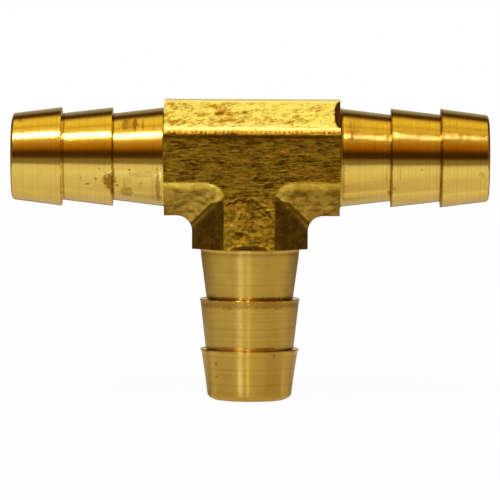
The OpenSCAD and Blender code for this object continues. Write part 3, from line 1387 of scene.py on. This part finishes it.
@dataclass
class HoseStem:
    """A turned hose stem: three barbs, a bore, and a spigot in the body's port.

    Attributes:
        outlet: The outlet that it stands in.
        barbs: The barbs from the body outwards; the first stands on the body's end face.
        tip: From the crossing of the axes to the tip.
        spigot_length: Length of the spigot behind the seat.
        bore_r: Radius of the waterway.
        tip_cut: Width and height of the bevel at the tip.
        crest_land: Width of a crest.
        crest_chamfer: Height of the chamfer on a crest's step.
        crest_edge: How far that chamfer stays under the crest.
        foot_cut: Width and depth of the tool's cut at a barb's foot, before the next step.
        root_round: Fillet at the seat.
        mouth_chamfer: Chamfer at the mouth of the bore.
        spigot_wall: Wall of the spigot.
        spigot_chamfer: Lead chamfer of the spigot.
    """

    SLOT = "turned_brass"
    # Wall of the stem at the foot of a barb, and gap between its spigot and the floor of the port
    WALL = 1.2
    FLOOR_GAP = 0.15
    # Where the points of a cone lie along it
    TAPER_SHARES = (0.04, 0.96, 1.0)
    TURN_STEPS = 160
    ROOT_STEPS = 6
    MERGE_GAP = 0.0005
    SHARP_EDGE = math.radians(20)

    outlet: Outlet
    barbs: Sequence[Barb]
    tip: float
    spigot_length: float
    bore_r: float
    tip_cut: Point
    crest_land: float
    root_round: float
    crest_chamfer: float = 0.1
    crest_edge: float = 0.02
    foot_cut: Point = (0.12, 0.02)
    mouth_chamfer: float = 0.3
    spigot_wall: float = 0.85
    spigot_chamfer: float = 0.3
    piece: Optional[bpy.types.Object] = field(default=None, init=False)

    @classmethod
    def from_frame(cls, outlet: Outlet, body: TeeBody) -> "HoseStem":
        """Reads a stem's sizes from the frame, with the small differences of the three stems.

        Args:
            outlet: The outlet that it stands in.
            body: The body that it stands in.

        Returns:
            The stem, not built yet.
        """
        seat = body.ends[outlet]
        tip = max(abs(corner[outlet.axis]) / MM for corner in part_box(outlet.value))
        crest, foot = mount_radius("left_barb"), body.bore_r + cls.WALL
        burred = (Barb(15.55, crest, foot + 0.08, 0.12), Barb(21.06, crest - 0.13, foot - 0.16, 0.16))
        cuts = {
            Outlet.LEFT: (Barb(15.1, crest, foot), Barb(20.68, crest, foot)),
            Outlet.RIGHT: (Barb(15.38, crest, foot + 0.03), Barb(20.82, crest, foot)),
            Outlet.BRANCH: burred,
        }
        base = Barb(seat, crest - (0.06 if outlet is Outlet.RIGHT else 0.0), foot)
        on_branch = outlet is Outlet.BRANCH
        return cls(
            outlet=outlet,
            barbs=(base, *cuts[outlet]),
            tip=tip,
            spigot_length=body.port_depth - cls.FLOOR_GAP,
            bore_r=body.bore_r,
            tip_cut=(0.75, 0.5) if on_branch else (0.3, 0.25),
            crest_land=0.3 if on_branch else 0.06,
            root_round=0.22 if outlet is Outlet.LEFT else 0.4,
        )

    def build(self) -> bpy.types.Object:
        """Turns the stem from its half section.

        Returns:
            The stem, in place in the frame.
        """
        Bench.clear()
        bpy.ops.mesh.primitive_plane_add(size=1)
        self.piece = bpy.context.object
        section = [Vector((radius, 0, height)) for radius, height in self._section()]
        with Bench.editing(self.piece) as mesh:
            for vertex in mesh.verts:
                vertex.co = section[0]
            bpy.ops.mesh.select_all(action="SELECT")
            bpy.ops.mesh.merge(type="CENTER")
            for start, end in zip(section, section[1:] + section[:1]):
                bpy.ops.mesh.extrude_region_move(TRANSFORM_OT_translate={"value": end - start})
            bpy.ops.mesh.select_all(action="SELECT")
            bpy.ops.mesh.spin(steps=self.TURN_STEPS, angle=math.tau, center=(0, 0, 0), axis=(0, 0, 1))
            bpy.ops.mesh.select_all(action="SELECT")
            bpy.ops.mesh.remove_doubles(threshold=self.MERGE_GAP)
            bpy.ops.mesh.normals_make_consistent(inside=False)
            # That guesses from the outermost face, and on the flared root it can guess wrong
            if bmesh.from_edit_mesh(self.piece.data).calc_volume(signed=True) < 0:
                bpy.ops.mesh.flip_normals()
        way = self.outlet.direction
        Bench.stand(self.piece, way * self.barbs[0].base, way)
        bpy.ops.object.shade_smooth_by_angle(angle=self.SHARP_EDGE)
        return Bench.set_down(self.piece, "turned_" + self.outlet.value)

    def _section(self) -> list[Point]:
        """Gives the half section, in radius and height over the seat.

        Returns:
            The points of the section, in order.
        """
        seat = self.barbs[0].base
        spigot = self.bore_r + self.spigot_wall
        points = [
            (self.bore_r, -self.spigot_length),
            (spigot - self.spigot_chamfer, -self.spigot_length),
            (spigot, -self.spigot_length + self.spigot_chamfer),
            (spigot, 0.0),
        ]
        crest = self.barbs[0].crest
        points += arc((crest + self.root_round, self.root_round), self.root_round, 270, 180, self.ROOT_STEPS)
        points += [(crest, self.root_round + self.crest_land)]
        for barb, after in zip(self.barbs, self.barbs[1:]):
            step = after.base - seat
            points += self._taper(points[-1], (barb.foot, step - self.foot_cut[0]))
            points += [(barb.foot - self.foot_cut[1], step)]
            points += self._crest(after, step)
        height, (wide, tall) = self.tip - seat, self.tip_cut
        foot = self.barbs[-1].foot
        points += self._taper(points[-1], (foot, height - tall))
        points += [(foot - wide * 0.3, height - tall * 0.5), (foot - wide, height)]
        points += [(self.bore_r + self.mouth_chamfer, height), (self.bore_r, height - self.mouth_chamfer)]
        return points

    def _taper(self, start: Point, end: Point) -> list[Point]:
        """Gives a barb's cone after its start; the narrow bands at its ends keep its shading straight."""
        out, up = end[0] - start[0], end[1] - start[1]
        return [(start[0] + out * share, start[1] + up * share) for share in self.TAPER_SHARES]

    def _crest(self, barb: Barb, base: float) -> list[Point]:
        """Gives the points of one crest, with its lip, over the step at its base.

        Args:
            barb: The barb.
            base: Height of its step over the seat.

        Returns:
            The points in radius and height, outwards along the stem.
        """
        top = barb.crest + barb.lip
        return [
            (barb.crest - self.crest_chamfer, base),
            (top - self.crest_edge, base - barb.lip * 0.3),
            (top, base + self.crest_land * 0.1),
            (barb.crest + barb.lip * 0.3, base + self.crest_land * 0.6),
            (barb.crest, base + self.crest_land),
        ]

    def dress(self, finish: TurnedBrass) -> None:
        """Gives the stem its finish and its place among the CAD nodes.

        Args:
            finish: The finish of this stem.
        """
        self.piece.data.materials.clear()
        self.piece.data.materials.append(finish.material("turned_brass_" + self.outlet.value))
        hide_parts(self.outlet.value)
        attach(self.piece, "root")


@dataclass(frozen=True)
class Band:
    """A band of even light; between two bands the light blends.

    Attributes:
        start: Where it starts, in degrees round the object, or in millimetres across the floor.
        light: Its light.
        end: Where it ends, or None for a mere line.
    """

    start: float
    light: Colour
    end: Optional[float] = None

    @property
    def edges(self) -> tuple[float, ...]:
        """Where it starts and ends."""
        return (self.start,) if self.end is None else (self.start, self.end)


@dataclass(frozen=True)
class Lamp:
    """A soft lamp far from the object.

    Attributes:
        aside: Where it is, in degrees from the camera towards the right.
        height: Its height over the horizon, in degrees.
        width: Its width in degrees.
        tall: Its height in degrees.
        light: Its light.
    """

    aside: float
    height: float
    width: float
    tall: float
    light: float

    def seen(self, graph: Graph, way: Sock) -> Sock:
        """Gives 1 along the ways that meet the lamp and 0 along the others.

        Args:
            graph: The world's tree.
            way: The way from the object.

        Returns:
            The lamp's mask.
        """
        aside, height = math.radians(self.aside), math.radians(self.height)
        right = (math.cos(aside), math.sin(aside), 0.0)
        front = (math.sin(aside) * math.cos(height), -math.cos(aside) * math.cos(height), math.sin(height))
        above = tuple(Vector(right).cross(Vector(front)) * -1)
        masks = []
        for side, size in ((right, self.width), (above, self.tall)):
            half = math.sin(math.radians(size / 2))
            off = graph.vector("DOT_PRODUCT", way, side).size()
            masks.append(off.fall(half * 0.8, half * 1.2))
        return masks[0] * masks[1] * graph.vector("DOT_PRODUCT", way, front).rise(0, 0.1)


@dataclass
class Studio:
    """A white floor, soft light in bands over the object, and the camera.

    Attributes:
        floor_height: Height of the floor in metres.
        target: The point that the camera looks at, in millimetres.
        distance: From that point to the camera, in millimetres.
        yaw: Turn of the camera to the side, in degrees.
        pitch: Height of the camera over the horizon, in degrees.
        roll: Tilt of the camera, in degrees.
        focal_px: Focal length in pixels of the image.
        spoke_centre: How far before the branch's axis the spokes on the floor meet, in millimetres.
    """

    WHITE = (1.0, 1.0, 1.0)
    # What the camera sees of the floor, before the object's shadow
    FLOOR_WHITE = (1.035, 1.045, 1.08)
    LAMP_TINT = (1.0, 0.97, 0.90)
    # Radius of the floor in metres, its sides, and the gap between it and the object in metres
    FLOOR_RADIUS = 0.5
    FLOOR_SIDES = 128
    FLOOR_GAP = 2e-5
    # Share of the floor's look that is its own light, and the matt white of the rest
    FLOOR_GLOW = 0.9
    FLOOR_MATT = (0.9, 0.9, 0.9, 1.0)

    floor_height: float
    target: Place = (0.0035, 0.0, -10.19)
    distance: float = 486.3
    yaw: float = -0.35
    pitch: float = 3.016
    roll: float = 0.267
    focal_px: float = 4427.6
    spoke_centre: float = 2.6

    @staticmethod
    def surround() -> tuple[Band, ...]:
        """The bands of light round the object: 0 is towards the camera, 90 overhead and 180 behind.

        Returns:
            The bands in order.
        """
        return (
            Band(-180, (0.40, 0.36, 0.25), -90),
            Band(-6, (0.20, 0.15, 0.08)),
            Band(-3.5, (0.18, 0.13, 0.07)),
            Band(-1, (0.075, 0.035, 0.005)),
            Band(10, (0.060, 0.020, 0.001)),
            Band(16, (0.12, 0.048, 0.002)),
            Band(21, (0.29, 0.125, 0.006)),
            Band(30, (0.56, 0.27, 0.014)),
            Band(37, (0.60, 0.32, 0.025)),
            Band(41, (0.70, 0.48, 0.08)),
            Band(66, (0.90, 0.70, 0.14)),
            Band(71, (1.0, 0.83, 0.20)),
            Band(77, (1.03, 0.84, 0.18)),
            Band(80, (0.98, 0.76, 0.14)),
            Band(82, (0.50, 0.28, 0.02), 83),
            Band(85, (0.98, 0.76, 0.12)),
            Band(96, (1.10, 0.90, 0.17)),
            Band(106, (1.06, 0.86, 0.20)),
            Band(111, (0.85, 0.67, 0.18)),
            Band(117, (0.20, 0.12, 0.02)),
            Band(122, (0.07, 0.025, 0.001)),
            Band(132, (0.06, 0.025, 0.002)),
            Band(141, (0.24, 0.20, 0.15)),
            Band(151, (0.40, 0.36, 0.30)),
            Band(170, (0.42, 0.39, 0.30)),
            Band(177, (0.87, 0.80, 0.50), 180),
        )

    @staticmethod
    def spokes() -> tuple[Band, ...]:
        """The spokes of light and shade on the floor round the branch, by their angle towards the right.

        Returns:
            The spokes in order.
        """
        return (
            Band(-180, (0.48, 0.48, 0.58), -118),
            Band(-106, (1.05, 1.1, 1.25), -97),
            Band(-90, (0.90, 0.88, 0.93)),
            Band(-62, (0.90, 0.87, 0.95)),
            Band(-44, (0.93, 0.95, 1.04)),
            Band(-32, (1.10, 1.2, 1.35)),
            Band(-28, (2.6, 3.4, 5.6), -21),
            Band(-18, (1.25, 1.3, 1.2), -8),
            Band(-5.5, (2.9, 3.2, 2.9), -2.5),
            Band(0, (1.30, 1.25, 1.15)),
            Band(20, (1.15, 1.1, 1.1)),
            Band(36, (1.0, 0.91, 0.87)),
            Band(54, (0.82, 0.74, 0.71)),
            Band(72, (0.87, 0.79, 0.81)),
            Band(89, (0.9, 0.9, 0.95)),
            Band(93, (1.3, 1.4, 1.6), 98),
            Band(102, (1.05, 1.1, 1.2), 115),
            Band(127, (0.5, 0.5, 0.58), 180),
        )

    @staticmethod
    def depths() -> tuple[Band, ...]:
        """The light on the floor from before the object to behind it.

        Returns:
            The bands in order.
        """
        return (
            Band(-46, (0.90, 0.90, 0.64)),
            Band(-15, (0.92, 0.91, 0.61)),
            Band(0, (0.81, 0.75, 0.47)),
            Band(15, (0.70, 0.63, 0.46)),
            Band(32, (0.58, 0.54, 0.45)),
        )

    @staticmethod
    def lamps() -> tuple[Lamp, ...]:
        """The softbox, a slim lamp beside it, and a weak strip to the right.

        Returns:
            The lamps.
        """
        return (
            Lamp(-33, 53, 7, 9.3, 34.0),
            Lamp(-5.5, 54, 2, 9.3, 68.0),
            Lamp(25, 51.5, 24, 3.8, 1.55),
        )

    @staticmethod
    def _row(graph: Graph, value: Sock, half: float, bands: Sequence[Band]) -> Sock:
        """Gives the light of a row of bands at a value.

        Args:
            graph: The tree that it is for.
            value: Where in the row.
            half: The row goes from minus this to plus this.
            bands: The bands in order.

        Returns:
            The light, as a colour.
        """
        lights = [(edge, band.light) for band in bands for edge in band.edges]
        stops = [((edge + half) / (2 * half), light) for edge, light in lights]
        share = (value + half) / (2 * half)
        return graph.add("ShaderNodeValToRGB", {"stops": stops}, {"Fac": share}, "Color")

    def light(self) -> None:
        """Makes the world: white to the camera, and bands and lamps of soft light to everything else."""
        world = bpy.data.worlds.new("studio")
        bpy.context.scene.world = world
        world.use_nodes = True
        graph = Graph(world.node_tree)
        way = graph.add("ShaderNodeTexCoord", {}, {}, "Generated")
        x, y, z = graph.parts(way)
        bands = self._row(graph, z.turn(-y), 180, self.surround())
        aside = x.size().rise(0.6, 0.9) * z.size().fall(0.3, 0.8)
        warm = graph.mix(x.rise(0.2, 0.6), self.WHITE, (0.52, 0.36, 0.24))
        warm = graph.mix(x.fall(-0.6, -0.2), warm, (0.76, 0.62, 0.52))
        right = x.rise(0.10, 0.22) * z.fall(0.925, 0.96)
        warm = graph.mix(right, warm, graph.mix(1.0, warm, (0.84, 0.74, 0.55), "MULTIPLY"))
        colour = graph.mix(aside, graph.mix(1.0, bands, warm, "MULTIPLY"), (0.17, 0.12, 0.05))
        behind = x.size().rise(0.3, 0.6) * y.rise(0.1, 0.4) * z.fall(0.5, 0.8)
        colour = graph.mix(behind, colour, (0.05, 0.035, 0.015))
        for lamp in self.lamps():
            colour = graph.mix(lamp.seen(graph, way), colour, scaled(self.LAMP_TINT, lamp.light))
        path = graph.add("ShaderNodeLightPath", {}, {}, "Is Camera Ray")
        colour = graph.mix(path, colour, self.WHITE)
        background = graph.add("ShaderNodeBackground", {}, {"Color": colour, "Strength": 1.0})
        graph.add("ShaderNodeOutputWorld", {}, {"Surface": background})

    def lay_floor(self) -> None:
        """Lays the floor: white with a soft shadow to the camera, and a pool of light to everything else."""
        Bench.clear()
        bpy.ops.mesh.primitive_circle_add(
            vertices=self.FLOOR_SIDES,
            radius=self.FLOOR_RADIUS,
            fill_type="NGON",
            location=(0, 0, self.floor_height - self.FLOOR_GAP),
        )
        floor = bpy.context.object
        floor.name = "floor"
        made, graph = Graph.for_material("white_floor")
        path = graph.add("ShaderNodeLightPath", {}, {}, "Is Camera Ray")
        colour = graph.mix(path, self._pool(graph), self.FLOOR_WHITE)
        glow = graph.add("ShaderNodeEmission", {}, {"Color": colour, "Strength": 1.0})
        matt = graph.add("ShaderNodeBsdfDiffuse", {}, {"Color": self.FLOOR_MATT})
        both = graph.add("ShaderNodeMixShader", {}, {0: self.FLOOR_GLOW, 1: matt, 2: glow})
        graph.add("ShaderNodeOutputMaterial", {}, {"Surface": both})
        floor.data.materials.append(made)
        floor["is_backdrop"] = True

    def _pool(self, graph: Graph) -> Sock:
        """Gives the pool of light on the floor: shaded under the object, spoked round it, dim far from it.

        Args:
            graph: The floor's tree.

        Returns:
            The light, as a colour.
        """
        place = graph.millimetres()
        x, y, _ = graph.parts(place)
        shade = graph.vector("LENGTH", graph.vector("SUBTRACT", place, (4.0, -4.0, 0.0))).fall(6, 24)
        lit = graph.mix(shade * 0.5, self._row(graph, y, 50, self.depths()), (0.50, 0.36, 0.13))
        angle = x.turn(-(y + self.spoke_centre))
        away = graph.vector("LENGTH", graph.vector("ADD", place, (0.0, self.spoke_centre, 0.0)))
        spokes = self._row(graph, angle - away.rise(30, 38) * 4, 180, self.spokes())
        aside = angle.size()
        gap = away.rise(8, 11) * away.fall(25, 31) * aside.fall(35, 45) * 0.9
        beside = (aside.rise(86, 92) * 0.6).most(aside.rise(105, 115))
        spread = (away.rise(3, 6) - gap) * away.fall(37, 46) * (1 - beside * away.rise(14, 24))
        lit = graph.mix(spread, lit, graph.mix(1.0, lit, spokes, "MULTIPLY"))
        edge = graph.vector("DIVIDE", graph.vector("ADD", place, (0.0, 18.0, 0.0)), (110.0, 74.0, 1e6))
        return graph.mix(graph.vector("LENGTH", edge).rise(0.94, 1.06), lit, (0.23, 0.17, 0.075))

    def set_camera(self) -> None:
        """Puts the camera where the photograph was taken from."""
        yaw, pitch, roll = (math.radians(a) for a in (self.yaw, self.pitch, self.roll))
        back = Vector((-math.sin(yaw) * math.cos(pitch), -math.cos(yaw) * math.cos(pitch), math.sin(pitch)))
        right = Vector((0, 0, 1)).cross(back).normalized()
        up = back.cross(right)
        across = right * math.cos(roll) + up * math.sin(roll)
        above = up * math.cos(roll) - right * math.sin(roll)
        data = bpy.data.cameras.new("camera")
        data.sensor_width = SENSOR_MM
        data.lens = self.focal_px * SENSOR_MM / IMAGE_SIDE
        data.clip_start, data.clip_end = 0.01, 20.0
        camera = bpy.data.objects.new("camera", data)
        bpy.context.scene.collection.objects.link(camera)
        turn = Matrix((across, above, back)).transposed().to_4x4()
        camera.matrix_world = Matrix.Translation((Vector(self.target) + back * self.distance) * MM) @ turn
        bpy.context.scene.camera = camera


def mount_radius(name: str) -> float:
    """Gives the radius in millimetres of one of the record's mounts."""
    return next(m["dims"]["r_mm"] for m in frame["record"]["mounts"] if m["name"] == name)


def main() -> None:
    """Builds the tee piece by piece, lights it and sets the camera."""
    logging.basicConfig(level=logging.INFO, format="%(message)s")
    bpy.context.scene.view_settings.view_transform = "Standard"
    solid_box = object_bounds()
    body = TeeBody.from_frame(mount_radius("run_bore"))
    body.build()
    body.dress(ForgedBrass())
    LOG.info("%s: %d vertices", body.piece.name, len(body.piece.data.vertices))
    for outlet in Outlet:
        stem = HoseStem.from_frame(outlet, body)
        stem.build()
        stem.dress(TurnedBrass.on(outlet))
        LOG.info("%s: %d vertices", stem.piece.name, len(stem.piece.data.vertices))
    studio = Studio(floor_height=solid_box[0].z)
    studio.light()
    studio.lay_floor()
    studio.set_camera()


if __name__ == "__main__":
    main()
